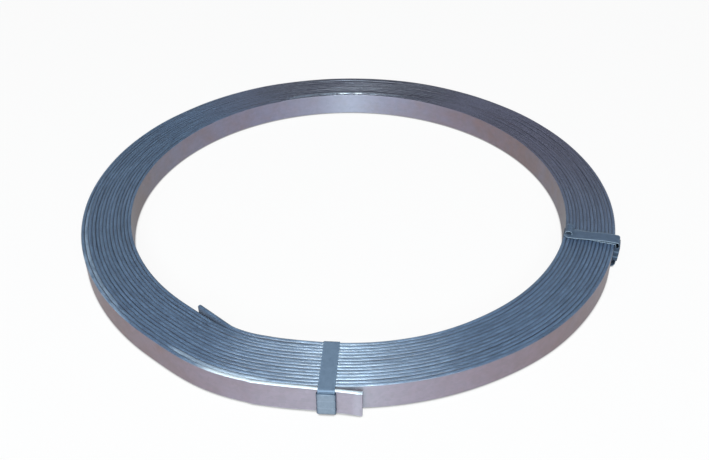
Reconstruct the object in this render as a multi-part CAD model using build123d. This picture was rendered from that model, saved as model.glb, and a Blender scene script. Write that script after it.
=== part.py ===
from build123d import *
from math import atan2, degrees, sqrt
import os

# Strip: flat hot-rolled steel, zinc coated, with mill edges that are crowned to a low ridge
strip_width = 30.0
strip_thickness = 4.0
edge_crown = 1.0

# Winding: one strip wound tightly on edge, counter-clockwise outward seen from above
bore_diameter = 526.0
turn_count = 14
turn_gap = 0.05

# Outer end: the strip jogs out of the last turn, laps over it and springs off behind the front strap
lap_root_angle = 226.0
lap_root_depth = 1.0
lap_bedding = 0.2
end_sag = 0.15
lap_jog_radius = 150.0
lap_bend_angle = 267.4
outer_end_kink_angle = 8.0
outer_end_bend_radius = 40.0
outer_end_length = 20.0

# Inner end: a straight stub that springs from the first turn into the eye
inner_root_angle = 246.0
inner_end_kink_angle = 11.5
inner_end_length = 60.0

# Strapping: two flat steel bands round the section
strap_width = 16.0
strap_thickness = 0.6
strap_bend_radius = 2.0
strap_clearance = 0.3
front_strap_angle = 266.0
side_strap_angle = 341.3

# Strap tail: the side strap's loose end folds back over the top and curls up at its tip
side_leg_stand_off = 1.6
tail_fold_rise = 2.4
tail_fold_radius = 3.0
tail_tip_rise = 0.3
tail_tip_reach = 2.5
tail_curl_radius = 5.0
tail_curl_angle = 290.0

# Seals: sheet-metal sleeves folded round both strap layers and crimped at the edges
seal_wall = 1.1
front_seal_height = 28.0
seal_corner_radius = 0.8
seal_clearance = 0.2
seal_seam_width = 4.0
side_seal_height = 18.0
side_seal_rise = 3.0
crimp_depth = 1.6
crimp_height = 2.4
crimp_taper = 0.8
crimp_spacing = 9.0
strap_end_inset = 3.0
strap_end_reach = 1.5
cut_overrun = 5.0

# Places that follow from the sizes above
bore_radius = bore_diameter / 2
turn_pitch = strip_thickness + turn_gap
outer_radius = bore_radius + turn_count * turn_pitch
lap_outer_radius = outer_radius + strip_thickness - lap_bedding
coil_bottom = strap_thickness + strap_clearance
coil_top = coil_bottom + strip_width
coil_middle = coil_bottom + strip_width / 2


def polar(radius, angle):
    """Point at a radius and an angle from +X, at the middle of a free end's width."""
    return Vector(radius, 0, coil_middle - end_sag).rotate(Axis.Z, angle)


def tangent(angle):
    """Counter-clockwise direction round the coil at an angle from +X."""
    return Vector(0, 1, 0).rotate(Axis.Z, angle)


def wound_turns():
    """All full turns as one turned ring, with a groove between neighbours on both ends."""
    seams = [bore_radius + turn * turn_pitch for turn in range(turn_count + 1)]
    top = [(seams[0], coil_top - edge_crown)]
    bottom = [(seams[0], coil_bottom + edge_crown)]
    for seam in seams[1:]:
        ridge = seam - turn_pitch / 2
        top += [(ridge, coil_top), (seam, coil_top - edge_crown)]
        bottom += [(ridge, coil_bottom), (seam, coil_bottom + edge_crown)]
    outline = Polyline(*top, *reversed(bottom), close=True)
    return revolve(Plane.XZ * make_face(outline), Axis.Z)


def strip_section(start, heading):
    """Cross-section of the strip, crowned along both edges, square to its path."""
    side = strip_thickness / 2
    half = strip_width / 2
    shoulder = half - edge_crown
    outline = Polyline(
        (0, half),
        (side, shoulder),
        (side, -shoulder),
        (0, -half),
        (-side, -shoulder),
        (-side, shoulder),
        close=True,
    )
    across = heading.cross(Vector(0, 0, 1))
    return Plane(origin=start, x_dir=across, z_dir=heading) * make_face(outline)


def outer_end():
    """Outer lap: a jog up from the last turn, a stretch that lies on it, and the sprung end."""
    root_radius = outer_radius - strip_thickness / 2 - lap_root_depth
    lap_radius = outer_radius + strip_thickness / 2 - lap_bedding
    jog_rise = lap_radius - root_radius
    jog_run = sqrt(jog_rise * (lap_radius + root_radius - 2 * lap_jog_radius))
    jog_angle = degrees(atan2(jog_run, root_radius - lap_jog_radius))
    lap_angle = lap_bend_angle - lap_root_angle - jog_angle
    root = polar(root_radius, lap_root_angle)
    run = Line(root, root + tangent(lap_root_angle) * jog_run)
    jog = JernArc(run @ 1, run % 1, lap_jog_radius, jog_angle)
    lap = JernArc(jog @ 1, jog % 1, lap_radius, lap_angle)
    kink = JernArc(lap @ 1, lap % 1, outer_end_bend_radius, -outer_end_kink_angle)
    end = Line(kink @ 1, kink @ 1 + (kink % 1) * outer_end_length)
    path = Wire([*run.edges(), *jog.edges(), *lap.edges(), *kink.edges(), *end.edges()])
    return sweep(strip_section(path @ 0, path % 0), path=path)


def inner_end():
    """Inner stub: a straight length from the middle of the first turn into the eye."""
    root = polar(bore_radius + strip_thickness / 2, inner_root_angle)
    heading = -tangent(inner_root_angle).rotate(Axis.Z, -inner_end_kink_angle)
    path = Line(root, root + heading * inner_end_length)
    return sweep(strip_section(path @ 0, path % 0), path=path)


def strip_coil():
    """The whole strip as one solid: full turns, outer lap and inner stub."""
    return wound_turns() + outer_end() + inner_end()


class Strapping:
    """One strap round the coil's section, with its seal, in the plane of one angle."""

    def __init__(self, angle, section_radius, stand_off, height, rise):
        self.angle = angle
        self.height = height
        self.inner_leg = bore_radius - strap_clearance - strap_thickness / 2
        self.top_leg = coil_top + strap_clearance + strap_thickness / 2
        self.bottom_leg = coil_bottom - strap_clearance - strap_thickness / 2
        seat = section_radius + strap_clearance + stand_off + seal_wall + seal_clearance
        self.first_layer = seat + strap_thickness / 2
        self.second_layer = self.first_layer + strap_thickness + seal_clearance
        self.seal_middle = coil_middle + rise
        self.seal_bottom = self.seal_middle - height / 2
        self.seal_top = self.seal_middle + height / 2

    def loop(self):
        """Corners of the strap's path from its hidden end, once round, to the top of the seal."""
        return [
            (self.first_layer, self.seal_bottom + strap_end_inset),
            (self.first_layer, self.top_leg),
            (self.inner_leg, self.top_leg),
            (self.inner_leg, self.bottom_leg),
            (self.second_layer, self.bottom_leg),
            (self.second_layer, self.seal_top + strap_end_reach),
        ]

    def band(self, path):
        """Strap of full width along a path in the section plane, turned to its angle."""
        start = Plane(origin=path @ 0, x_dir=(1, 0, 0), z_dir=path % 0)
        blank = start * Rectangle(strap_thickness, strap_width)
        return Rot(0, 0, self.angle) * sweep(blank, path=path)

    def cut_strap(self):
        """Strap whose outer end is cut off just above its seal."""
        return self.band(Plane.XZ * FilletPolyline(*self.loop(), radius=strap_bend_radius))

    def tailed_strap(self):
        """Strap whose outer end folds back over the top leg and curls up near the eye."""
        fold = self.top_leg + strap_thickness + tail_fold_rise
        tip = self.top_leg + strap_thickness + tail_tip_rise
        hidden, outer_top, inner_top, inner_low, outer_low, _ = self.loop()
        loop = FilletPolyline(hidden, outer_top, inner_top, inner_low, outer_low,
                              (self.second_layer, coil_middle), radius=strap_bend_radius)
        tail = FilletPolyline((self.second_layer, coil_middle), (self.second_layer, fold),
                              (bore_radius + tail_tip_reach, tip), radius=tail_fold_radius)
        curl = JernArc(tail @ 1, tail % 1, tail_curl_radius, -tail_curl_angle)
        path = Wire([*loop.edges(), *tail.edges(), *curl.edges()])
        return self.band(Plane.XZ * path)

    def seal(self):
        """Sleeve round both layers, open along a seam at the back, with crimps at both edges."""
        inside = self.first_layer - strap_thickness / 2 - seal_clearance
        outside = self.second_layer + strap_thickness / 2 + seal_clearance
        depth = outside - inside
        width = strap_width + 2 * seal_clearance
        middle = (inside + outside) / 2
        sleeve = RectangleRounded(depth + 2 * seal_wall, width + 2 * seal_wall, seal_corner_radius)
        sleeve = sleeve - Rectangle(depth, width)
        sleeve = sleeve - Pos(-depth / 2 - seal_wall / 2, 0) * Rectangle(2 * seal_wall, seal_seam_width)
        body = Pos(middle, 0, self.seal_bottom) * extrude(sleeve, self.height)
        edge = strap_width / 2 + seal_clearance + seal_wall
        mouth = crimp_height / 2 + crimp_taper
        notch = Polyline(
            (edge + cut_overrun, -mouth),
            (edge, -mouth),
            (edge - crimp_depth, -crimp_height / 2),
            (edge - crimp_depth, crimp_height / 2),
            (edge, mouth),
            (edge + cut_overrun, mouth),
            close=True,
        )
        cutter = extrude(Plane.YZ * make_face(notch), depth + 2 * seal_wall + cut_overrun)
        for level in (-crimp_spacing / 2, crimp_spacing / 2):
            placed = Pos(middle, 0, self.seal_middle + level) * cutter
            body = body - placed - mirror(placed, Plane.XZ)
        return Rot(0, 0, self.angle) * body


front = Strapping(front_strap_angle, lap_outer_radius, 0, front_seal_height, 0)
side = Strapping(side_strap_angle, outer_radius, side_leg_stand_off, side_seal_height, side_seal_rise)

pieces = {
    "strip_coil": strip_coil(),
    "front_strap": front.cut_strap(),
    "front_seal": front.seal(),
    "side_strap": side.tailed_strap(),
    "side_seal": side.seal(),
}

os.makedirs("parts", exist_ok=True)
for name, piece in pieces.items():
    export_step(piece, f"parts/{name}.step")
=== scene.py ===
"""Looks of a flat coil of galvanised steel strip, wound on edge and held by two sealed steel straps."""

import logging
import math
import random
from dataclasses import dataclass, field
from enum import Enum
from typing import Any, Dict, List, Mapping, Optional, Sequence, Tuple, Union

import bpy
import numpy as np
from mathutils import Matrix, Vector


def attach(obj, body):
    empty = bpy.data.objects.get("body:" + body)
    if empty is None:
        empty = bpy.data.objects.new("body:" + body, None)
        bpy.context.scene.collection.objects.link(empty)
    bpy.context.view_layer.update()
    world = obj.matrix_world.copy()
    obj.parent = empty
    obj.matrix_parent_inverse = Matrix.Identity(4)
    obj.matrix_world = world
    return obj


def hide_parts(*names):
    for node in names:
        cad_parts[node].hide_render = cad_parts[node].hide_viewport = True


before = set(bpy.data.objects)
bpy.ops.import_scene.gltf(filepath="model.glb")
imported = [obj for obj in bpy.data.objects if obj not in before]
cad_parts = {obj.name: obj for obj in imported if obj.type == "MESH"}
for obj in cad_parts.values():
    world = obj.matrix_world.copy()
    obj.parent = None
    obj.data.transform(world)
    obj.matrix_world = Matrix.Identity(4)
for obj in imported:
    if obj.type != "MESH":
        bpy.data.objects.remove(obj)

LOG = logging.getLogger("steel_coil")
BODY = "root"
MM = 0.001
FULL_TURN, HALF_TURN, QUARTER_TURN = 360.0, 180.0, 90.0
UPRIGHT = np.array([0.0, 0.0, 1.0])
WHITE = (1.0, 1.0, 1.0, 1.0)
FRONT_ANGLE, SIDE_ANGLE = 266.0, 341.3
LAP_CLEARANCE = 0.4
ARC_STEPS = 8

Colour = Tuple[float, float, float]
Face = Tuple[int, ...]
Point2 = Tuple[float, float]
Point3 = Tuple[float, float, float]
Span = Tuple[float, float, float]
Stops = Tuple[Point2, Point2]
Weights = Tuple[float, ...]


class Slot(Enum):
    """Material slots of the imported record."""

    STRIP = "strip"
    STRAPPING = "strapping"
    SEAL = "seal"


class StrapEnd(Enum):
    """How a strap's outer end finishes above its seal."""

    CUT = "cut off just above the seal"
    TAIL = "folded back over the top and curled at the tip"


class Signal:
    """A shader socket that takes part in arithmetic; each operation adds a Math node."""

    def __init__(self, sheet: "ShaderSheet", socket: bpy.types.NodeSocket) -> None:
        """Keep the sheet that owns the socket."""
        self.sheet = sheet
        self.socket = socket

    def _math(self, operation: str, first: "Value", second: "Value") -> "Signal":
        """Add one Math node for two operands."""
        return self.sheet.node("ShaderNodeMath", {"operation": operation}, {0: first, 1: second})

    def __add__(self, other: "Value") -> "Signal":
        """Sum."""
        return self._math("ADD", self, other)

    def __radd__(self, other: "Value") -> "Signal":
        """Sum, reflected."""
        return self._math("ADD", other, self)

    def __sub__(self, other: "Value") -> "Signal":
        """Difference."""
        return self._math("SUBTRACT", self, other)

    def __rsub__(self, other: "Value") -> "Signal":
        """Difference, reflected."""
        return self._math("SUBTRACT", other, self)

    def __mul__(self, other: "Value") -> "Signal":
        """Product."""
        return self._math("MULTIPLY", self, other)

    def __rmul__(self, other: "Value") -> "Signal":
        """Product, reflected."""
        return self._math("MULTIPLY", other, self)

    def __truediv__(self, other: "Value") -> "Signal":
        """Quotient."""
        return self._math("DIVIDE", self, other)

    def __rtruediv__(self, other: "Value") -> "Signal":
        """Quotient, reflected."""
        return self._math("DIVIDE", other, self)


Value = Union[Signal, float, int, Sequence[float]]


def weighted(weights: Weights, *signals: Signal) -> Signal:
    """Sum of signals, each times its weight."""
    products = [signal * weight for signal, weight in zip(signals, weights)]
    return sum(products[1:], products[0])


@dataclass(frozen=True)
class Pattern:
    """Cloud noise on metal: features per metre, octaves, weight of the fine ones, swirl and stretch."""

    scale: float
    detail: float = 3.0
    roughness: float = 0.55
    distortion: float = 0.0
    stretch: Point3 = (1.0, 1.0, 1.0)


class ShaderSheet:
    """A node tree that is written from Python, one node at a time."""

    def __init__(self, tree: bpy.types.NodeTree) -> None:
        """Start from an empty tree."""
        self.tree = tree
        self.tree.nodes.clear()

    def node(self, kind: str, settings: Optional[Mapping[str, Any]] = None,
             sockets: Optional[Mapping[Union[str, int], Value]] = None,
             output: Union[str, int] = 0) -> Signal:
        """Add a node, set it up and connect it.

        Args:
            kind: Blender's type name of the node.
            settings: Properties to set first; "stops" gives a ramp's positions and grey values.
            sockets: Values or links of the inputs, by name or index.
            output: Which output to hand back.

        Returns:
            The chosen output, or the first input of a node without outputs.
        """
        made = self.tree.nodes.new(kind)
        for name, setting in (settings or {}).items():
            if name == "stops":
                self._set_stops(made, setting)
            else:
                setattr(made, name, setting)
        for name, value in (sockets or {}).items():
            if isinstance(value, Signal):
                self.tree.links.new(value.socket, made.inputs[name])
            else:
                made.inputs[name].default_value = value
        ends = made.outputs if len(made.outputs) else made.inputs
        return Signal(self, ends[output])

    @staticmethod
    def _set_stops(ramp: bpy.types.Node, stops: Stops) -> None:
        """Give a colour ramp its two grey stops.

        Args:
            ramp: The ramp node.
            stops: Pairs of position and grey value, in order.
        """
        for element, (position, grey) in zip(ramp.color_ramp.elements, stops):
            element.position = position
            element.color = (grey, grey, grey, 1.0)

    def attributes(self, *names: str) -> List[Signal]:
        """Numbers stored on the mesh."""
        return [self.node("ShaderNodeAttribute", {"attribute_name": name}, output="Fac") for name in names]

    def vector(self, x: Value, y: Value, z: Value) -> Signal:
        """A vector of three values."""
        return self.node("ShaderNodeCombineXYZ", None, {0: x, 1: y, 2: z})

    def noise(self, place: Sequence[Signal], look: Pattern) -> Signal:
        """Cloud noise between 0 and 1.

        Args:
            place: Three coordinates on the metal.
            look: Settings of the noise.

        Returns:
            The noise value.
        """
        stretched = [axis if share == 1.0 else axis * share for axis, share in zip(place, look.stretch)]
        return self.node("ShaderNodeTexNoise", None, {
            "Vector": self.vector(*stretched), "Scale": look.scale, "Detail": look.detail,
            "Roughness": look.roughness, "Distortion": look.distortion})

    def grains(self, place: Sequence[Signal], scale: float) -> Signal:
        """Random grey per grain of a cell pattern, as of zinc crystals."""
        sockets = {"Vector": self.vector(*place), "Scale": scale}
        return self.node("ShaderNodeSeparateColor", None, {
            0: self.node("ShaderNodeTexVoronoi", None, sockets, "Color")})

    def ramp(self, value: Signal, stops: Stops) -> Signal:
        """Map a value through two grey stops."""
        return self.node("ShaderNodeValToRGB", {"stops": stops}, {0: value})

    def mix(self, factor: Value, first: Value, second: Value, kind: str = "MIX") -> Signal:
        """Mix two colours.

        Args:
            factor: Share of the second colour.
            first: Colour at factor 0.
            second: Colour at factor 1.
            kind: Blend mode.

        Returns:
            The mixed colour.
        """
        settings = {"data_type": "RGBA", "blend_type": kind, "clamp_factor": True}
        first = first if isinstance(first, Signal) else (*first, 1.0)
        second = second if isinstance(second, Signal) else (*second, 1.0)
        return self.node("ShaderNodeMix", settings, {0: factor, 6: first, 7: second}, 2)

    def grey(self, value: Signal) -> Signal:
        """A value as a grey colour."""
        return self.node("ShaderNodeCombineColor", None, {0: value, 1: value, 2: value})

    def shade(self, colour: Signal, value: Signal) -> Signal:
        """A colour times a value."""
        return self.mix(1.0, colour, self.grey(value), "MULTIPLY")

    def bump(self, height: Signal, strength: float, distance: float) -> Signal:
        """A normal that follows a height in metres times the distance."""
        return self.node("ShaderNodeBump", None, {
            "Height": height, "Strength": strength, "Distance": distance})

    def surface(self, sockets: Mapping[str, Value]) -> None:
        """Finish the tree with one metal shader."""
        shader = self.node("ShaderNodeBsdfPrincipled", None, sockets)
        self.node("ShaderNodeOutputMaterial", None, {"Surface": shader})


def new_material(name: str) -> Tuple[bpy.types.Material, ShaderSheet]:
    """Make an empty node material.

    Args:
        name: Name of the finish.

    Returns:
        The material and its sheet.
    """
    material = bpy.data.materials.new(name)
    material.use_nodes = True
    return material, ShaderSheet(material.node_tree)


@dataclass(frozen=True)
class StripFinish:
    """Zinc-coated strip: mauve-grey wide faces, slate-blue edges that shine in broken lines, partly painted
    highlight, with painted shade in places.
    """

    name: str = "zinc_coated_strip"
    face_cool: Colour = (0.146, 0.102, 0.142)
    face_warm: Colour = (0.116, 0.055, 0.060)
    # Painted bluish sheen on the first turn, whose inner face lines the eye
    inner_face_sheen: Colour = (0.116, 0.100, 0.165)
    # Painted bluish shade on the face of the inner tip, which lies in the gap's shadow
    inner_tip_shade: Colour = (0.105, 0.150, 0.225)
    rim_dark: Colour = (0.047, 0.077, 0.136)
    rim_worn_glint: Colour = (0.126, 0.198, 0.312)
    rim_mauve_shade: Colour = (0.092, 0.079, 0.119)
    # Edge colours worn bright by handling, partly painted highlights and glints
    scuffed_glint: Colour = (0.240, 0.350, 0.500)
    rubbed_glint: Colour = (0.640, 0.720, 0.770)
    # Painted shade in the grooves between the turns
    seam: Colour = (0.038, 0.050, 0.075)
    sheen: Colour = (0.84, 0.94, 0.97)
    sheen_index: float = 2.5
    rolled_gloss: float = 0.86
    across_grain: float = 0.25
    clouds: Pattern = Pattern(4.0, 4.0, 0.6)
    patches: Pattern = Pattern(45.0, 3.0, 0.6)
    streaks: Pattern = Pattern(620.0, 5.0, 0.65, stretch=(0.02, 1.0, 1.0))
    specks: Pattern = Pattern(900.0, 2.0)
    dashes: Pattern = Pattern(420.0, 3.0, 0.6, stretch=(0.16, 0.5, 0.7))
    drifts: Pattern = Pattern(120.0, 2.0, stretch=(0.05, 0.0, 0.2))
    blotches: Pattern = Pattern(260.0, 4.0, 0.65, stretch=(0.4, 0.5, 1.0))
    grain_scale: float = 260.0
    cloud_stops: Stops = ((0.34, 0.0), (0.66, 1.0))
    inner_reach: float = 1.72
    inner_stops: Stops = ((0.90, 1.0), (1.0, 0.0))
    end_reach: float = 0.085
    inner_tip_shade_stops: Stops = ((0.55, 0.9), (1.0, 0.0))
    wear_stops: Stops = ((0.22, 0.0), (0.66, 1.0))
    speck_stops: Stops = ((0.36, 0.0), (0.64, 1.0))
    broken_stops: Stops = ((0.40, 0.0), (0.60, 1.4))
    seam_shade_stops: Stops = ((0.32, 0.40), (0.58, 1.0))
    dull_stops: Stops = ((0.45, 0.0), (0.85, 0.16))
    brown_base: float = -0.85
    brown_by_side_shade_cloud_patch: Weights = (0.85, 0.4, 1.3)
    tone_base: float = 0.66
    tone_by_streak_grain_speck: Weights = (0.40, 0.18, 0.10)
    wear_and_glint_by_dash_crown: Weights = (0.6, 0.15)
    mauve_shade_share: float = 0.8
    mottle_base: float = -0.02
    mottle_by_drift_blotch_speck: Weights = (0.90, 0.70, 0.50)
    back_painted_shade: float = 0.28
    rough_base: float = 0.36
    rough_by_streak_speck_seam: Weights = (0.12, 0.06, 0.3)
    rim_rough_base: float = -0.24
    rim_rough_by_dash_back_shade: Weights = (0.24, -0.08)
    face_metal: float = 0.15
    rim_metal: float = 0.30
    back_shade_metal: float = 0.35
    seam_metal: float = 0.7
    face_relief_by_streak_speck_grain: Weights = (0.025, 0.015, 0.010)
    rim_relief_by_dash_speck: Weights = (0.40, 0.04)
    relief_depth: float = 0.001

    def build(self) -> bpy.types.Material:
        """Write the finish's nodes.

        Returns:
            The material.
        """
        material, sheet = new_material(self.name)
        place = sheet.attributes("along", "height", "across")
        along = place[0]
        rim, crown, groove = sheet.attributes("rim", "crown", "groove")
        rub_and_glint, far_side_shade, back_shade, rust = sheet.attributes("rub_and_glint", "far_side_shade", "back_shade", "rust")
        streak, fine, dash, drift = (
            sheet.noise(place, look) for look in (self.streaks, self.specks, self.dashes, self.drifts))
        grain = sheet.grains(place, self.grain_scale)

        # Wide faces: cooler on the first turn as a painted bluish sheen, browned in clouds and patches and
        # with painted brown shade on the left and right sides, blue at the inner tip as painted shade
        first_turn = sheet.ramp(along / self.inner_reach, self.inner_stops)
        face = sheet.mix(first_turn, self.face_cool, self.inner_face_sheen)
        cloud = sheet.ramp(sheet.noise(place, self.clouds), self.cloud_stops)
        patch = sheet.noise(place, self.patches)
        brown = self.brown_base + weighted(self.brown_by_side_shade_cloud_patch, rust, cloud, patch)
        face = sheet.mix(brown, face, self.face_warm)
        tone = self.tone_base + weighted(self.tone_by_streak_grain_speck, streak, grain, fine)
        face = sheet.shade(face, tone)
        face = sheet.mix(sheet.ramp(along / self.end_reach, self.inner_tip_shade_stops), face, self.inner_tip_shade)

        # Rolled edges: lighter in dashes and on the crest, as wear and painted highlight; painted mauve shade
        # on the far half and painted shade at the back centre; mottled; worn bright by handling in places,
        # partly painted highlight and glints
        wear = sheet.ramp(weighted(self.wear_and_glint_by_dash_crown, dash, crown), self.wear_stops)
        edge = sheet.mix(wear, self.rim_dark, self.rim_worn_glint)
        edge = sheet.mix(far_side_shade * self.mauve_shade_share, edge, self.rim_mauve_shade)
        blotch, speck = sheet.noise(place, self.blotches), sheet.ramp(fine, self.speck_stops)
        mottle = self.mottle_base + weighted(self.mottle_by_drift_blotch_speck, drift, blotch, speck)
        edge = sheet.shade(edge, mottle * (1 - back_shade * self.back_painted_shade))
        worn = sheet.mix(rub_and_glint * rub_and_glint, self.scuffed_glint, self.rubbed_glint)
        broken = sheet.ramp(dash, self.broken_stops)
        edge = sheet.mix(rub_and_glint * (rub_and_glint * rub_and_glint + (1 - rub_and_glint) * broken), edge, worn)

        # Painted shade in the grooves between the turns, and the gloss, metal and relief of all three
        dark = groove * sheet.ramp(drift, self.seam_shade_stops) * (1 - rub_and_glint)
        colour = sheet.mix(dark, sheet.mix(rim, face, edge), self.seam)
        dull = sheet.ramp(crown, self.dull_stops) * (1 - rub_and_glint)
        rim_rough = self.rim_rough_base + weighted(self.rim_rough_by_dash_back_shade, dash, back_shade) + dull
        rough = self.rough_base + weighted(self.rough_by_streak_speck_seam, streak, fine, dark)
        metal = self.face_metal + rim * (self.rim_metal - self.face_metal + back_shade * self.back_shade_metal)
        face_relief = weighted(self.face_relief_by_streak_speck_grain, streak, fine, grain)
        relief = face_relief * (1 - rim) + rim * weighted(self.rim_relief_by_dash_speck, dash, fine)
        sheet.surface({
            "Base Color": colour, "Roughness": rough + rim * rim_rough,
            "Metallic": metal * (1 - dark) + dark * (1 - rim) * self.seam_metal,
            "IOR": self.sheen_index, "Specular Tint": (*self.sheen, 1.0),
            "Anisotropic": self.rolled_gloss, "Anisotropic Rotation": self.across_grain,
            "Normal": sheet.bump(relief, 1.0, self.relief_depth)})
        return material


@dataclass(frozen=True)
class BandFinish:
    """Flat steel strapping, or the sheet of a seal: one mottled colour with bright worn edges and painted
    shade in recesses.
    """

    name: str
    dark: Colour
    light: Colour
    worn: Colour
    metallic: float
    roughness: float
    mottle_scale: float
    shade: Colour = (0.028, 0.045, 0.075)
    streaks: Pattern = Pattern(900.0, 4.0, 0.6, stretch=(0.06, 1.0, 0.0))
    specks: Pattern = Pattern(1500.0, 2.0)
    border_shift: float = 0.01
    mottle_stops: Stops = ((0.32, 0.0), (0.68, 1.0))
    light_by_mottle_streak: Weights = (0.6, 0.4)
    tone_base: float = 0.82
    tone_by_speck: float = 0.36
    wear_base: float = -0.25
    wear_by_speck: float = 0.5
    wear_stops: Stops = ((0.45, 0.0), (1.0, 0.8))
    rough_by_mottle_wear_recess: Weights = (0.10, -0.12, 0.25)
    relief_by_speck_streak: Weights = (0.6, 0.4)
    relief_strength: float = 0.30
    relief_depth: float = 0.0002

    def build(self) -> bpy.types.Material:
        """Write the finish's nodes.

        Returns:
            The material.
        """
        material, sheet = new_material(self.name)
        along, across, border, recess_shade = sheet.attributes("along", "across", "border", "recess_shade")
        place = along, across, border * self.border_shift
        look = Pattern(self.mottle_scale, detail=5.0, roughness=0.65, distortion=0.4)
        mottle = sheet.ramp(sheet.noise(place, look), self.mottle_stops)
        streak, speck = sheet.noise(place, self.streaks), sheet.noise(place, self.specks)
        colour = sheet.mix(weighted(self.light_by_mottle_streak, mottle, streak), self.dark, self.light)
        colour = sheet.shade(colour, self.tone_base + speck * self.tone_by_speck)
        wear = sheet.ramp(border + self.wear_base + speck * self.wear_by_speck, self.wear_stops)
        # Painted shade over the recessed side walls and rims
        colour = sheet.mix(recess_shade, sheet.mix(wear, colour, self.worn), self.shade)
        relief = weighted(self.relief_by_speck_streak, speck, streak)
        sheet.surface({
            "Base Color": colour, "Metallic": self.metallic,
            "Roughness": self.roughness + weighted(self.rough_by_mottle_wear_recess, mottle, wear, recess_shade),
            "Normal": sheet.bump(relief, self.relief_strength, self.relief_depth)})
        return material


BLUED_STRAPPING = BandFinish(
    "blued_strapping", dark=(0.097, 0.142, 0.208), light=(0.141, 0.199, 0.278), worn=(0.17, 0.25, 0.35),
    metallic=0.35, roughness=0.60, mottle_scale=160.0)
# A darker version of the blued strapping: painted shade for the strap on the right side
SHADED_STRAPPING = BandFinish(
    "shaded_strapping", dark=(0.048, 0.072, 0.112), light=(0.088, 0.130, 0.198), worn=(0.30, 0.37, 0.43),
    metallic=0.25, roughness=0.55, mottle_scale=220.0)
ZINC_COATED_SHEET = BandFinish(
    "zinc_coated_sheet", dark=(0.136, 0.180, 0.238), light=(0.213, 0.257, 0.318), worn=(0.38, 0.44, 0.52),
    metallic=0.45, roughness=0.4, mottle_scale=240.0)
# A darker version of the zinc-coated sheet: painted shade for the seal on the right side
SHADED_SHEET = BandFinish(
    "shaded_sheet", dark=(0.045, 0.075, 0.125), light=(0.110, 0.165, 0.235), worn=(0.22, 0.29, 0.36),
    metallic=0.35, roughness=0.5, mottle_scale=260.0)


@dataclass(frozen=True)
class Ripple:
    """Smooth irregular waves along a length, about between -1 and 1, with the wavelengths in metres."""

    seed: int
    shortest: float
    longest: float
    terms: int = 9
    crest: float = 1.6

    def at(self, along: np.ndarray) -> np.ndarray:
        """Add the waves up.

        Args:
            along: Places along the length, in metres.

        Returns:
            One value for each place.
        """
        draw = random.Random(self.seed)
        total = np.zeros_like(along)
        for _ in range(self.terms):
            wave = self.shortest * (self.longest / self.shortest) ** draw.random()
            total += np.sin(2 * math.pi * (along / wave + draw.random()))
        return total / (self.crest * math.sqrt(self.terms))


def soft_step(value: np.ndarray, start: float, stop: float) -> np.ndarray:
    """Rise smoothly from 0 at start to 1 at stop."""
    share = np.clip((value - start) / (stop - start), 0.0, 1.0)
    return share * share * (3 - 2 * share)


def plateau(value: np.ndarray, start: float, stop: float, rise: float = 0.25,
            fall: float = 0.25) -> np.ndarray:
    """Stay at 1 between start and stop, with smooth flanks inside both.

    Args:
        value: Where to look it up.
        start: Where it leaves 0.
        stop: Where it is back at 0.
        rise: Share of the stretch in which it rises.
        fall: Share of the stretch in which it falls.

    Returns:
        One share for each value.
    """
    stretch = stop - start
    up = soft_step(value, start, start + stretch * rise)
    return up * (1 - soft_step(value, stop - stretch * fall, stop))


def chord_radius(angle: np.ndarray, first: Point2, second: Point2) -> np.ndarray:
    """Radius at which rays from the axis meet a straight line.

    Args:
        angle: Directions of the rays, in degrees.
        first: A point of the line, as radius and angle in degrees.
        second: Another point of the line.

    Returns:
        One radius for each ray.
    """
    (ax, ay), (bx, by) = (
        (radius * math.cos(math.radians(turn)), radius * math.sin(math.radians(turn)))
        for radius, turn in (first, second))
    across = ax * (by - ay) - ay * (bx - ax)
    turns = np.radians(angle)
    return across / (np.cos(turns) * (by - ay) - np.sin(turns) * (bx - ax))


def axes_at(angle: float) -> Tuple[np.ndarray, np.ndarray]:
    """Directions away from the coil's axis and round it, at an angle in degrees."""
    east, north = math.cos(math.radians(angle)), math.sin(math.radians(angle))
    return np.array([east, north, 0.0]), np.array([-north, east, 0.0])


def distances(path: np.ndarray) -> np.ndarray:
    """Length along a path from its start to each of its points."""
    return np.concatenate([[0.0], np.cumsum(np.linalg.norm(np.diff(path, axis=0), axis=1))])


def ring_faces(rings: int, points: int, caps: bool = True) -> List[Face]:
    """Quads between neighbouring rings of points.

    Args:
        rings: How many rings follow each other.
        points: Points in each ring.
        caps: Whether each end is closed by one face over the whole ring.

    Returns:
        The faces, as tuples of point numbers.
    """
    faces: List[Face] = []
    for ring in range(rings - 1):
        here, there = ring * points, (ring + 1) * points
        for point in range(points):
            after = (point + 1) % points
            faces.append((here + point, there + point, there + after, here + after))
    if caps:
        last = (rings - 1) * points
        faces.append(tuple(range(points)))
        faces.append(tuple(last + point for point in reversed(range(points))))
    return faces


@dataclass
class Piece:
    """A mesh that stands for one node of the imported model."""

    name: str
    node: str
    slot: Slot
    points: np.ndarray
    faces: List[Face]
    marks: Dict[str, np.ndarray]
    material: bpy.types.Material
    sharp_angle: float = 38.0

    def place(self) -> bpy.types.Object:
        """Make the object, ride it on its body and report it.

        Returns:
            The object.
        """
        mesh = bpy.data.meshes.new(self.name)
        mesh.from_pydata(self.points.tolist(), [], self.faces)
        for mark, values in self.marks.items():
            layer = mesh.attributes.new(mark, "FLOAT", "POINT")
            layer.data.foreach_set("value", np.asarray(values, np.float32))
        mesh.materials.append(self.material)
        mesh.shade_smooth()
        mesh.set_sharp_from_angle(angle=math.radians(self.sharp_angle))
        mesh.update()
        made = bpy.data.objects.new(self.name, mesh)
        bpy.context.scene.collection.objects.link(made)
        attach(made, BODY)
        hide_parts(self.node)
        triangles = sum(len(face) - 2 for face in self.faces)
        LOG.info("%s: %d points, %d triangles", self.name, len(self.points), triangles)
        return made


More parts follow.
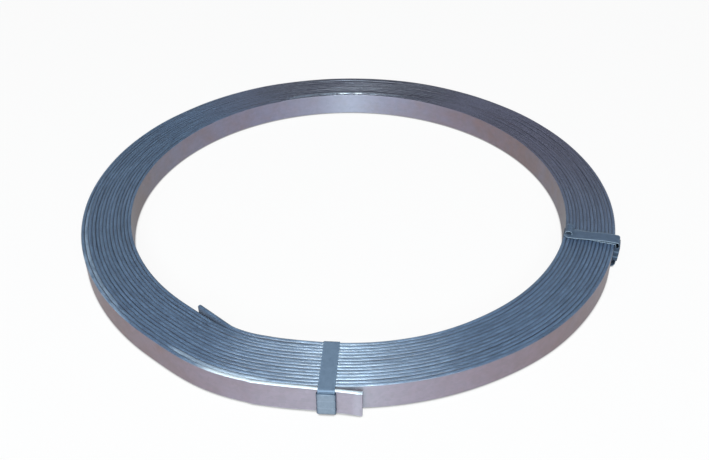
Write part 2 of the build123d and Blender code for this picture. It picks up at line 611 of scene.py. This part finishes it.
@dataclass
class WoundStrip:
    """The strip: one ribbon wound on edge, its inner end sprung into the eye, its outer end lapped."""

    thickness: float = 3.95
    width: float = 30.8
    bottom: float = 0.1
    edge_tilt: float = 45.0
    corner_rim: float = 0.35
    shoulder: float = 0.45
    top_steps: int = 5
    bottom_steps: int = 2
    first_radius: float = 260.83
    mean_radius_m: float = 0.29
    pitch: float = 4.057
    gap_wander: float = 0.85
    gap_waves: Ripple = Ripple(11, 0.12, 0.9)
    full_turns: int = 14
    start_angle: float = 233.0
    start_margin: float = 0.5
    stations_per_turn: int = 280
    hump_rise: float = 4.4
    hump_angles: Span = (230.0, 246.3, 266.0)
    inner_tip: Point2 = (256.35, 232.9)
    inner_leave: float = 243.6
    inner_slack: float = 0.8
    inner_slack_angles: Point2 = (248.0, 266.0)
    inner_slack_fall: float = 0.5
    outer_leave: float = 260.8
    outer_tip: Point2 = (324.2, 271.9)
    bend_softness: float = 0.35
    bend_reach: float = 8.0
    edge_wander: float = 0.50
    long_share: float = 0.7
    long_waves: Ripple = Ripple(23, 0.35, 2.6)
    short_share: float = 0.5
    short_waves: Ripple = Ripple(29, 0.07, 0.4)
    bottom_waves: Ripple = Ripple(31, 0.35, 2.6)
    edge_settled: float = 0.1
    edge_high: float = 0.12
    edge_low: float = -0.75
    bottom_low: float = -0.08
    rest_angles: Point2 = (FRONT_ANGLE, SIDE_ANGLE)
    rest_rise: float = 0.8
    rest_reach: Point2 = (2.2, 7.0)
    lap_lean: float = 0.6
    lap_lean_angles: Point2 = (247.0, 264.0)
    side_lean: float = 1.3
    side_lean_angles: Point2 = (296.0, 346.0)
    side_lean_flank: float = 1 / 3
    leaning_turns: int = 3
    edge_slant: float = 0.11
    slant_waves: Ripple = Ripple(37, 0.05, 0.5)
    # Where the painted groove shade lies, and where it fades at the free edges
    groove_crowns: Point2 = (0.05, 0.19)
    groove_fade: float = 6.0
    groove_ends: Point2 = (361.0, 359.5)
    # Painted mauve shade on the edges over the far half of the coil
    far_side_shade_angle: float = 60.0
    far_side_shade_reach: Point2 = (0.0, 0.85)
    # Painted shade on the edges at the back centre of the coil
    back_shade_angle: float = 87.0
    back_shade_reach: Point2 = (0.82, 0.98)
    # Painted brown shade on the wide faces at the left and right of the coil, less over part of the first
    # turn
    side_shade_reach: Point2 = (0.15, 0.85)
    side_shade_gap_angles: Point2 = (465.0, 540.0)
    side_shade_gap: float = 0.6
    # Spans from the outer end where the edges are worn bright by handling, partly a painted highlight
    rub_and_glint_spans: Tuple[Span, ...] = (
        (0.24, 0.42, 0.46), (-0.05, 0.20, 0.95), (2.06, 2.22, 0.7), (2.24, 2.50, 0.55))
    # Painted glints in dashes on the second turn at the back centre, measured from the inner end
    inner_glint_spans: Tuple[Span, ...] = ((2.56, 2.82, 0.52), (2.662, 2.678, 0.45), (2.686, 2.702, 0.45))
    sheared_edge: float = 0.35
    radii: np.ndarray = field(init=False)
    angles: np.ndarray = field(init=False)

    def __post_init__(self) -> None:
        """Wind the strip."""
        step = FULL_TURN / self.stations_per_turn
        length = self.full_turns * FULL_TURN + self.outer_tip[1] - self.inner_tip[1]
        self.angles = self.inner_tip[1] + np.arange(int(math.floor(length / step)) + 1) * step
        self.angles[-1] = self.inner_tip[1] + length
        self.radii = self._wind()

    def _hump(self, turn: np.ndarray) -> np.ndarray:
        """Outward swell of the stack where the inner end leaves it.

        Args:
            turn: Directions, in degrees.

        Returns:
            The rise at each direction.
        """
        low, top, high = self.hump_angles
        rise = 0.5 - 0.5 * np.cos(np.pi * np.clip((turn - low) / (top - low), 0, 1))
        fall = 0.5 + 0.5 * np.cos(np.pi * np.clip((turn - top) / (high - top), 0, 1))
        return self.hump_rise * rise * fall

    def _seat(self, turn: np.ndarray) -> np.ndarray:
        """Radius on which the innermost turn would lie with its end held down, at each direction."""
        travelled = (turn - self.start_angle + self.start_margin) % FULL_TURN - self.start_margin
        return self.first_radius + self.pitch * travelled / FULL_TURN + self._hump(turn)

    def _wind(self) -> np.ndarray:
        """Lay each turn on the one below it.

        Returns:
            Inner-face radius at every station.
        """
        per = self.stations_per_turn
        along = np.radians(self.angles - self.angles[0]) * self.mean_radius_m
        spare = self.pitch - self.thickness
        gap = spare * (1.0 + self.gap_wander * np.clip(self.gap_waves.at(along), -1, 1))
        lay = np.empty_like(self.angles)
        lay[:per] = self._seat(self.angles[:per] % FULL_TURN)
        for start in range(per, len(lay), per):
            stop = min(start + per, len(lay))
            lay[start:stop] = lay[start - per:stop - per] + self.thickness + gap[start:stop]
        return self._spring_ends(lay)

    def _spring_ends(self, lay: np.ndarray) -> np.ndarray:
        """Bend both free ends away from the stack.

        Args:
            lay: Inner-face radius of the tight winding.

        Returns:
            The radius with both ends sprung.
        """
        radii = lay.copy()
        soft = self.bend_softness
        turn = self.angles % FULL_TURN
        first = self.angles < self.inner_leave + self.bend_reach
        leave = float(self._seat(np.array([self.inner_leave]))[0])
        line = chord_radius(turn[first], self.inner_tip, (leave, self.inner_leave))
        radii[first] -= soft * np.logaddexp(0.0, (lay[first] - line) / soft)
        radii -= self.inner_slack * plateau(self.angles, *self.inner_slack_angles, fall=self.inner_slack_fall)
        last = self.angles > self.angles[-1] - self.outer_tip[1] + self.outer_leave - self.bend_reach
        leave = float(np.interp(self.outer_leave, turn[last], lay[last]))
        line = chord_radius(turn[last], self.outer_tip, (leave, self.outer_leave))
        radii[last] += soft * np.logaddexp(0.0, (line - lay[last]) / soft)
        return radii

    def section(self) -> Tuple[np.ndarray, Dict[str, np.ndarray]]:
        """Outline of the strip: flat faces and edges crowned to a low arc.

        Returns:
            Offsets through the thickness and over the width, and marks for the finish.
        """
        half, tall = self.thickness / 2, self.width / 2
        tilt = math.radians(self.edge_tilt)
        arc = half / math.sin(tilt)
        low = tall - arc * (1 - math.cos(tilt))
        rows: List[Tuple[float, float, float, float]] = []
        for face, edge in ((1, 1), (-1, 1), (-1, -1), (1, -1)):
            steps = self.top_steps if edge > 0 else self.bottom_steps
            corner = [(half, low - self.shoulder, 0.0, 0.0), (half, low, self.corner_rim, 0.0)]
            for step in range(1, steps + 1):
                turn = tilt * (1 - step / (steps + 0.5))
                across = arc * math.sin(turn)
                corner.append((across, tall - arc * (1 - math.cos(turn)), 1.0, 1.0 - across / half))
            ordered = corner if face * edge > 0 else corner[::-1]
            rows += [(face * across, edge * height, rim, top) for across, height, rim, top in ordered]
            if face * edge > 0:
                rows.append((0.0, edge * tall, 1.0, 1.0))
        across, height, rim, crown = np.array(rows).T
        marks = {"across": across * MM, "height": height * MM, "rim": rim, "crown": crown}
        return np.column_stack([across, height]), marks

    def build(self, material: bpy.types.Material) -> Piece:
        """Make the ribbon's mesh.

        Args:
            material: Finish of the strip.

        Returns:
            The piece, ready to place.
        """
        turn = np.radians(self.angles)
        middle = self.radii + self.thickness / 2
        path = np.stack([middle * np.cos(turn), middle * np.sin(turn)], axis=1)
        run = np.gradient(path, axis=0)
        along = distances(path) * MM
        outward = np.stack([run[:, 1], -run[:, 0]], axis=1)
        outward /= np.linalg.norm(outward, axis=1, keepdims=True)
        offsets, marks = self.section()
        lift, lean = self._edge_lift(along, offsets), self._lean()
        rings = [self._ring(path[i], outward[i], lift[i], lean[i], offsets) for i in range(len(path))]
        trimmed = offsets * (1 - self.sheared_edge / np.array([self.thickness, self.width]))
        caps = [self._ring(path[i], outward[i], lift[i], lean[i], trimmed) for i in (0, -1)]
        for end, nearest in ((0, 1), (-1, -2)):
            heading = path[end] - path[nearest]
            heading /= np.linalg.norm(heading)
            inset = path[end] - heading * self.sheared_edge
            rings[end] = self._ring(inset, outward[end], lift[end], lean[end], offsets)
        rings = [caps[0], *rings, caps[1]]
        stations = np.concatenate([[0], np.arange(len(path)), [len(path) - 1]])
        count, many = len(offsets), len(stations)
        shares = {
            "along": along, "rust": self._side_shade(), "rub_and_glint": self._rubbed_and_glinting(along),
            "far_side_shade": self._side(self.far_side_shade_angle, self.far_side_shade_reach),
            "back_shade": self._side(self.back_shade_angle, self.back_shade_reach)}
        spread = {name: np.tile(values, many) for name, values in marks.items()}
        spread.update({name: np.repeat(values[stations], count) for name, values in shares.items()})
        spread["groove"] = self._grooves(marks)[stations].ravel()
        return Piece("wound_strip", "strip_coil", Slot.STRIP, np.concatenate(rings) * MM,
                     ring_faces(many, count), spread, material)

    def _away(self, angle: float) -> np.ndarray:
        """How many degrees each station lies from one direction."""
        return np.abs((self.angles - angle + HALF_TURN) % FULL_TURN - HALF_TURN)

    def _edge_lift(self, along: np.ndarray, offsets: np.ndarray) -> np.ndarray:
        """Height of the section's middle, uneven along both edges.

        Args:
            along: Places along the strip, in metres.
            offsets: The section's outline.

        Returns:
            One height for each place and each point of the section.
        """
        waves = self.long_share * self.long_waves.at(along) + self.short_share * self.short_waves.at(along)
        upper = np.clip(self.edge_wander * waves - self.edge_settled, self.edge_low, self.edge_high)
        lower = np.clip(self.edge_wander * self.bottom_waves.at(along), self.bottom_low, self.edge_high)
        for angle in self.rest_angles:
            lower += self.rest_rise * (1 - soft_step(self._away(angle), *self.rest_reach))
        slant = self.edge_slant * self.slant_waves.at(along)
        on_edge = np.abs(offsets[:, 1]) > self.width / 2 - self.thickness / 2
        lean = slant[:, None] * (offsets[:, 0] * on_edge)[None, :]
        uneven = np.where(offsets[None, :, 1] > 0, upper[:, None], lower[:, None])
        return self.bottom + self.width / 2 + uneven + lean

    def _grooves(self, marks: Mapping[str, np.ndarray]) -> np.ndarray:
        """How deep each point lies in a groove between two turns, where the finish paints shade.

        Args:
            marks: The section's own marks.

        Returns:
            One share for each place and each point of the section, zero where the edge is free.
        """
        depth = 1 - soft_step(marks["crown"], *self.groove_crowns)
        travelled = self.angles - self.angles[0]
        sprung = self.inner_leave - self.inner_tip[1]
        inside, outside = (
            soft_step(travelled, start, start + self.groove_fade) for start in (FULL_TURN + sprung, sprung))
        outside *= 1 - soft_step(travelled, *(travelled[-1] - end for end in self.groove_ends))
        covered = np.where(marks["across"][None, :] < 0, inside[:, None], outside[:, None])
        return depth[None, :] * covered

    def _side(self, angle: float, reach: Point2) -> np.ndarray:
        """Share of a painted shade that lies on the side of the coil at one direction, at each place."""
        return soft_step(np.cos(np.radians(self.angles - angle)), *reach)

    def _side_shade(self) -> np.ndarray:
        """How much painted brown shade the wide faces take at each place, most on the left and the right of
        the coil.
        """
        rust = soft_step(np.abs(np.cos(np.radians(self.angles))), *self.side_shade_reach)
        return rust * (1 - self.side_shade_gap * plateau(self.angles, *self.side_shade_gap_angles))

    def _rubbed_and_glinting(self, along: np.ndarray) -> np.ndarray:
        """Where the edge is lightened: worn bright by handling, partly a painted highlight, and painted
        glints in dashes.

        Args:
            along: Places along the strip, in metres.

        Returns:
            One share for each place.
        """
        share = np.zeros_like(along)
        for place, spans in ((along[-1] - along, self.rub_and_glint_spans), (along, self.inner_glint_spans)):
            for near, far, level in spans:
                share += level * plateau(place, near, far)
        return share

    def _lean(self) -> np.ndarray:
        """How far the lower edge stands out at each place, on the sprung lap and on the loosest side.

        Returns:
            The outward offset of the lower edge, zero where the strip stands upright.
        """
        left = self.angles[-1] - self.angles
        start, stop = (self.outer_tip[1] - angle for angle in self.lap_lean_angles)
        lap = self.lap_lean * (1 - soft_step(left, stop, start))
        flank = self.side_lean_flank
        side = plateau(self.angles % FULL_TURN, *self.side_lean_angles, flank, flank)
        loose = np.clip(1 - np.floor(left / FULL_TURN) / self.leaning_turns, 0, 1)
        return lap + self.side_lean * side * loose

    def _ring(self, centre: np.ndarray, outward: np.ndarray, lift: np.ndarray, lean: float,
              offsets: np.ndarray) -> np.ndarray:
        """One section of the ribbon in space.

        Args:
            centre: Middle of the strip in plan.
            outward: Direction through the thickness.
            lift: Height of the middle, for each point.
            lean: How far the lower edge stands out.
            offsets: The section's outline.

        Returns:
            The section's points.
        """
        out = offsets[:, :1] + lean * (0.5 - offsets[:, 1:] / self.width)
        return np.column_stack([centre + out * outward, lift + offsets[:, 1]])

    def faces_at(self, angle: float) -> Point2:
        """Radii of the stack's inner and outer faces at one direction, in degrees."""
        near = self.radii[self._away(angle) < FULL_TURN / self.stations_per_turn]
        return float(near.min()), float(near.max()) + self.thickness


def rounded_path(corners: Sequence[Point2], bends: Sequence[float], spacing: float) -> List[Point2]:
    """Points along a bent band: straight runs joined by arcs.

    Args:
        corners: Corners of the run, from end to end.
        bends: Bend radius at each inner corner.
        spacing: Greatest distance between points on a run.

    Returns:
        The points.
    """
    places = [Vector(corner) for corner in corners]
    points: List[Vector] = [places[0]]
    for before, corner, after, bend in zip(places, places[1:], places[2:], bends):
        into, away = (before - corner).normalized(), (after - corner).normalized()
        opening = into.angle(away)
        setback = bend / math.tan(opening / 2)
        centre = corner + (into + away).normalized() * (bend / math.sin(opening / 2))
        start, stop = corner + into * setback, corner + away * setback
        _add_run(points, start, spacing)
        swing = (start - centre).angle_signed(stop - centre)
        for step in range(1, ARC_STEPS + 1):
            share = Matrix.Rotation(-swing * step / ARC_STEPS, 2)
            points.append(centre + share @ (start - centre))
    _add_run(points, places[-1], spacing)
    return [(point.x, point.y) for point in points]


def _add_run(points: List[Vector], stop: Vector, spacing: float) -> None:
    """Add a straight run to a list of points.

    Args:
        points: The list, which grows.
        stop: End of the run.
        spacing: Greatest distance between points.
    """
    start = points[-1]
    steps = max(1, int(math.ceil((stop - start).length / spacing)))
    points.extend(start.lerp(stop, step / steps) for step in range(1, steps + 1))


@dataclass
class Strap:
    """One steel strap round the section of the coil, in the plane of one direction."""

    node: str
    angle: float
    inner: float
    outer: float
    slack: float
    end: StrapEnd
    seal_bottom: float
    seal_top: float
    width: float = 16.0
    thickness: float = 0.6
    edge: float = 0.22
    edge_wear: float = 0.7
    bend: float = 2.0
    slack_bend: float = 5.5
    clearance: float = 0.3
    seal_wall: float = 0.9
    layer_gap: float = 0.15
    coil_bottom: float = 0.9
    coil_top: float = 30.9
    spacing: float = 2.2
    end_inset: float = 3.0
    end_reach: float = 1.2
    tail: Tuple[Point2, ...] = ((323.2, 33.9), (308.0, 34.6), (292.0, 33.6), (276.0, 32.4), (267.0, 32.2))
    tail_bends: Tuple[float, ...] = (3.0, 60.0, 60.0, 30.0)
    tail_drift: float = -4.0
    curl_radius: float = 4.4
    curl_sweep: float = 285.0
    curl_tightening: float = 0.12
    curl_steps: int = 30
    first_layer: float = field(init=False)
    second_layer: float = field(init=False)

    def __post_init__(self) -> None:
        """Place both outer layers over the stack and the seal's back wall."""
        self.first_layer = self.outer + self.seal_wall + 2 * self.layer_gap + self.thickness / 2
        self.second_layer = self.first_layer + self.thickness + self.layer_gap + self.slack

    def path(self) -> List[Point2]:
        """Middle line of the band from its hidden end round the section to its outer end.

        Returns:
            Points as radius and height.
        """
        inner = self.inner - self.clearance - self.thickness / 2
        top = self.coil_top + self.clearance + self.thickness / 2
        bottom = self.coil_bottom - self.clearance - self.thickness / 2
        corners: List[Point2] = [
            (self.first_layer, self.seal_bottom + self.end_inset), (self.first_layer, top), (inner, top),
            (inner, bottom), (self.second_layer, bottom)]
        bends = [self.bend] * (len(corners) - 1)
        if self.end is StrapEnd.CUT:
            corners.append((self.second_layer, self.seal_top + self.end_reach))
            return rounded_path(corners, bends, self.spacing)
        bends[-1] = self.slack_bend
        corners += [(self.second_layer, self.tail[0][1]), *self.tail[1:]]
        points = rounded_path(corners, [*bends, *self.tail_bends], self.spacing)
        return points + self._curl(points[-2], points[-1])

    def _curl(self, before: Point2, start: Point2) -> List[Point2]:
        """Roll up the tail's tip.

        Args:
            before: A point just before the curl.
            start: Where the curl starts.

        Returns:
            The curl's points.
        """
        heading = Vector((start[0] - before[0], start[1] - before[1])).normalized()
        side = Vector((heading.y, -heading.x))
        centre = Vector(start) + side * self.curl_radius
        points: List[Point2] = []
        for step in range(1, self.curl_steps + 1):
            share = step / self.curl_steps
            radius = self.curl_radius * (1.0 - self.curl_tightening * share)
            turn = math.radians(self.curl_sweep) * share
            place = centre - side * radius * math.cos(turn) + heading * radius * math.sin(turn)
            points.append((place.x, place.y))
        return points

    def _drift(self, path: np.ndarray) -> np.ndarray:
        """Sideways drift of a loose tail, growing from its fold to its curl.

        Args:
            path: Points of the band's middle line.

        Returns:
            One offset for each point.
        """
        if self.end is StrapEnd.CUT:
            return np.zeros(len(path))
        (start, fold), (stop, _) = self.tail[0], self.tail[-1]
        second_half = np.arange(len(path)) > len(path) // 2
        past = np.maximum.accumulate((path[:, 1] > fold - 2 * self.bend) & second_half)
        return self.tail_drift * np.clip((start - path[:, 0]) / (start - stop), 0, 1) * past

    def build(self, material: bpy.types.Material) -> Piece:
        """Sweep the band along its path.

        Args:
            material: Finish of the strapping.

        Returns:
            The piece, ready to place.
        """
        path = np.array(self.path())
        run = np.gradient(path, axis=0)
        run /= np.linalg.norm(run, axis=1, keepdims=True)
        normal = np.stack([-run[:, 1], run[:, 0]], axis=1)
        half, wide = self.thickness / 2, self.width / 2
        spread = [-wide + self.edge, -wide / 2, 0.0, wide / 2, wide - self.edge]
        loop = [(half, across) for across in spread] + [(0.0, wide)]
        loop += [(-half, across) for across in reversed(spread)] + [(0.0, -wide)]
        section = np.array(loop)
        outward, sideways = axes_at(self.angle)
        centre = path[:, :1] * outward + path[:, 1:] * UPRIGHT + self._drift(path)[:, None] * sideways
        through = normal[:, :1] * outward + normal[:, 1:] * UPRIGHT
        rings = (centre[:, None, :] + section[None, :, :1] * through[:, None, :]
                 + section[None, :, 1:] * sideways)
        count, many = len(section), len(path)
        worn = (np.abs(section[:, 1]) > wide - 2 * self.edge) * self.edge_wear
        marks = {
            "along": np.repeat(distances(path), count) * MM, "across": np.tile(section[:, 1], many) * MM,
            "border": np.tile(worn, many), "recess_shade": np.zeros(many * count)}
        return Piece(f"{self.node}_band", self.node, Slot.STRAPPING, rings.reshape(-1, 3) * MM,
                     ring_faces(many, count), marks, material)


@dataclass
class CrimpedSeal:
    """Sheet-metal sleeve folded round both layers of a strap, with crimps in its edges."""

    node: str
    strap: Strap
    crimps: Tuple[float, ...]
    side_gap: float = 0.35
    corner: float = 1.1
    least_corner: float = 0.25
    corner_steps: int = 6
    front_steps: int = 12
    front_flatness: int = 4
    seam: float = 4.0
    pillow: float = 0.55
    pillow_flatness: int = 6
    crimp_depth: float = 1.1
    crimp_half: float = 1.5
    crimp_power: float = 1.5
    crimp_wear: float = 0.6
    lip: float = 0.7
    lip_narrowing: float = 0.3
    lip_dip: float = 0.35
    lip_wear: float = 0.8
    side_shade: Point2 = (1.5, 0.3)
    rim_shade: Point2 = (0.965, 1.0)
    levels: int = 57

    def _profile(self, shrink: float, bulge: float) -> np.ndarray:
        """Open sleeve section, as radius and sideways offset.

        Args:
            shrink: How far the side walls are pressed in.
            bulge: How far the front is crowned.

        Returns:
            The outer outline from seam to seam, and the inner one back again.
        """
        strap, wall = self.strap, self.strap.seal_wall
        half = strap.thickness / 2
        back = strap.first_layer - half - strap.layer_gap - wall
        front = strap.second_layer + half + strap.layer_gap + wall
        wide = strap.width / 2 + self.side_gap + wall - shrink
        outlines = []
        for inset in (0.0, wall):
            corner = max(self.corner - inset, self.least_corner)
            low, high, side = back + inset, front - inset, wide - inset
            flat = side - corner
            outline: List[Point2] = [(low, self.seam / 2), (low, side / 2)]
            for centre, start in ((low + corner, HALF_TURN), (high - corner, QUARTER_TURN)):
                for step in range(self.corner_steps):
                    turn = math.radians(start - QUARTER_TURN * step / (self.corner_steps - 1))
                    outline.append((centre + corner * math.cos(turn), flat + corner * math.sin(turn)))
            mirrored = [(radius, -across) for radius, across in reversed(outline)]
            for step in range(1, self.front_steps):
                share = 1 - 2 * step / self.front_steps
                outline.append((high + bulge * (1 - share ** self.front_flatness), flat * share))
            outlines.append(outline + mirrored)
        return np.array(outlines[0] + outlines[1][::-1])

    def build(self, material: bpy.types.Material) -> Piece:
        """Stack the sleeve's sections from bottom to top.

        Args:
            material: Finish of the seal.

        Returns:
            The piece, ready to place.
        """
        outward, sideways = axes_at(self.strap.angle)
        bottom, top = self.strap.seal_bottom, self.strap.seal_top
        middle, half = (bottom + top) / 2, (top - bottom) / 2
        wall = self.strap.width / 2 + self.side_gap + self.strap.seal_wall
        heights = np.linspace(bottom, top, self.levels)
        rings, across, border, recess_shade = [], [], [], []
        for height in heights:
            reach = abs(height - middle) / half
            depths = (max(0.0, 1 - ((height - crimp) / self.crimp_half) ** 2) for crimp in self.crimps)
            press = sum(depth ** self.crimp_power for depth in depths)
            rolled = max(0.0, (reach - 1) * half / self.lip + 1) ** 2
            bulge = self.pillow * (1 - reach ** self.pillow_flatness) - self.lip_dip * rolled
            profile = self._profile(self.crimp_depth * press + self.lip_narrowing * rolled, bulge)
            rings.append(profile[:, :1] * outward + profile[:, 1:] * sideways + height * UPRIGHT)
            across.append(profile[:, 1])
            border.append(np.full(len(profile), min(1.0, self.lip_wear * rolled + self.crimp_wear * press)))
            # Painted shade along the side walls and both rims of the sleeve
            beside = soft_step(np.abs(profile[:, 1]), *(wall - inset for inset in self.side_shade))
            recess_shade.append(np.maximum(beside, soft_step(np.array([reach]), *self.rim_shade)))
        count = len(rings[0])
        faces = ring_faces(self.levels, count, caps=False) + self._rims(count)
        marks = {
            "along": np.repeat(heights, count) * MM, "across": np.concatenate(across) * MM,
            "border": np.concatenate(border), "recess_shade": np.concatenate(recess_shade)}
        return Piece(f"{self.node}_sleeve", self.node, Slot.SEAL, np.concatenate(rings) * MM, faces, marks,
                     material)

    def _rims(self, count: int) -> List[Face]:
        """Quads that close the sheet's thickness at both ends of the sleeve.

        Args:
            count: Points in each section.

        Returns:
            The faces.
        """
        last = (self.levels - 1) * count
        faces: List[Face] = []
        for point in range(count // 2 - 1):
            quad = (point, point + 1, count - 2 - point, count - 1 - point)
            faces.append(quad)
            faces.append(tuple(last + corner for corner in reversed(quad)))
        return faces


@dataclass(frozen=True)
class Lamp:
    """A soft box that points at the middle of the coil."""

    name: str
    place: Point3
    size: Point2
    power: float
    tint: Colour

    def hang(self) -> None:
        """Add the lamp to the scene."""
        data = bpy.data.lights.new(self.name, "AREA")
        data.shape = "RECTANGLE"
        data.size, data.size_y = self.size
        data.energy = self.power
        data.color = self.tint
        lamp = bpy.data.objects.new(self.name, data)
        lamp.location = self.place
        lamp.rotation_euler = (-Vector(self.place)).to_track_quat("-Z", "Y").to_euler()
        bpy.context.scene.collection.objects.link(lamp)


@dataclass
class Studio:
    """Pale floor, soft lights and the camera at the photograph's viewing angle."""

    eye: Point3 = (0.0, -0.818400, 0.581861)
    ahead: Point3 = (0.00579168, 0.80219397, -0.59703541)
    right: Point3 = (0.99996574, -0.00817731, -0.00128687)
    lens: float = 40.366
    sensor: float = 36.0
    clip: Point2 = (0.02, 60.0)
    floor_radius: float = 14.0
    floor_sides: int = 96
    backdrop_height: float = 3.7
    floor_drop: float = -0.0003
    floor_paint: Colour = (0.5, 0.5, 0.5)
    floor_glow_share: float = 0.93
    contact_shadow_reach: float = 0.0030
    contact_samples: int = 16
    contact_shadow_stops: Stops = ((0.30, 0.35), (0.80, 1.0))
    world_level: float = 0.18
    lamps: Tuple[Lamp, ...] = (
        Lamp("key", (-0.14, -1.35, 1.60), (0.7, 0.7), 16.0, (1.0, 0.98, 0.92)),
        Lamp("wide_fill", (-0.16, -1.65, 1.90), (3.4, 0.6), 76.0, (0.91, 0.965, 1.0)),
        Lamp("low_front", (-0.03, -2.60, 1.25), (0.6, 0.5), 53.0, (0.72, 0.92, 1.0)))

    def aim_camera(self) -> None:
        """Set up the camera."""
        data = bpy.data.cameras.new("camera")
        data.sensor_fit = "HORIZONTAL"
        data.sensor_width = self.sensor
        data.lens = self.lens
        data.clip_start, data.clip_end = self.clip
        camera = bpy.data.objects.new("camera", data)
        back = -Vector(self.ahead).normalized()
        up = back.cross(Vector(self.right).normalized()).normalized()
        turn = Matrix((up.cross(back), up, back)).transposed().to_4x4()
        camera.matrix_world = Matrix.Translation(self.eye) @ turn
        bpy.context.scene.collection.objects.link(camera)
        bpy.context.scene.camera = camera

    @staticmethod
    def _seen(sheet: ShaderSheet) -> Signal:
        """One for rays from the camera, mirrors and glass, and zero for rays that carry light."""
        camera, glossy, transmission = (
            sheet.node("ShaderNodeLightPath", None, None, name)
            for name in ("Is Camera Ray", "Is Glossy Ray", "Is Transmission Ray"))
        return camera + glossy + transmission

    def lay_floor(self) -> None:
        """Make the floor and its round backdrop, which glow for the camera, with a painted contact shadow in
        the glow near the coil, and still take the shadow.
        """
        sides = range(self.floor_sides)
        turns = [2 * math.pi * side / self.floor_sides for side in sides]
        rim = [(self.floor_radius * math.cos(turn), self.floor_radius * math.sin(turn)) for turn in turns]
        points = [(x, y, z) for z in (self.floor_drop, self.backdrop_height) for x, y in rim]
        neighbours = [(side, (side + 1) % self.floor_sides) for side in sides]
        walls = [(here, here + len(rim), there + len(rim), there) for here, there in neighbours]
        mesh = bpy.data.meshes.new("floor")
        mesh.from_pydata(points, [], [tuple(sides), *walls])
        floor = bpy.data.objects.new("floor", mesh)
        bpy.context.scene.collection.objects.link(floor)
        material, sheet = new_material("pale_floor")
        paint = sheet.node("ShaderNodeBsdfDiffuse", None, {"Color": (*self.floor_paint, 1.0)})
        # Painted contact shadow: the glow greys where the coil is near
        nearby = sheet.node("ShaderNodeAmbientOcclusion", {"samples": self.contact_samples},
                            {"Distance": self.contact_shadow_reach}, "AO")
        shade = sheet.grey(sheet.ramp(nearby, self.contact_shadow_stops))
        glow = sheet.node("ShaderNodeEmission", None, {"Color": shade, "Strength": 1.0})
        share = self._seen(sheet) * self.floor_glow_share
        both = sheet.node("ShaderNodeMixShader", None, {0: share, 1: paint, 2: glow})
        sheet.node("ShaderNodeOutputMaterial", None, {"Surface": both})
        mesh.materials.append(material)

    def light(self) -> None:
        """Set the world's level and hang the lamps."""
        world = bpy.data.worlds.new("studio")
        world.use_nodes = True
        sheet = ShaderSheet(world.node_tree)
        back = sheet.node("ShaderNodeBackground", None, {"Color": WHITE, "Strength": self.world_level})
        sheet.node("ShaderNodeOutputWorld", None, {"Surface": back})
        bpy.context.scene.world = world
        for lamp in self.lamps:
            lamp.hang()

    def build(self) -> None:
        """Set up the whole studio."""
        bpy.context.scene.view_settings.view_transform = "Standard"
        self.aim_camera()
        self.lay_floor()
        self.light()


def main() -> None:
    """Dress the coil piece by piece and report each one."""
    logging.basicConfig(level=logging.INFO, format="%(name)s %(message)s")
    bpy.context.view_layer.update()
    Studio().build()
    # The darker strapping and sheet finishes are painted shade for the strap and seal on the right side
    zinc, blued, dull, bright, dark = (finish.build() for finish in (
        StripFinish(), BLUED_STRAPPING, SHADED_STRAPPING, ZINC_COATED_SHEET, SHADED_SHEET))
    coil = WoundStrip()
    coil.build(zinc).place()
    inner, outer = coil.faces_at(FRONT_ANGLE)
    front = Strap("front_strap", FRONT_ANGLE, inner, outer + LAP_CLEARANCE, slack=0.0, end=StrapEnd.CUT,
                  seal_bottom=2.6, seal_top=29.4)
    front.build(blued).place()
    CrimpedSeal("front_seal", front, crimps=(11.0, 20.5)).build(bright).place()
    inner, outer = coil.faces_at(SIDE_ANGLE)
    side = Strap("side_strap", SIDE_ANGLE, inner, outer, slack=2.75, end=StrapEnd.TAIL,
                 seal_bottom=10.0, seal_top=28.0)
    side.build(dull).place()
    CrimpedSeal("side_seal", side, crimps=(15.5, 22.5)).build(dark).place()


if __name__ == "__main__":
    main()
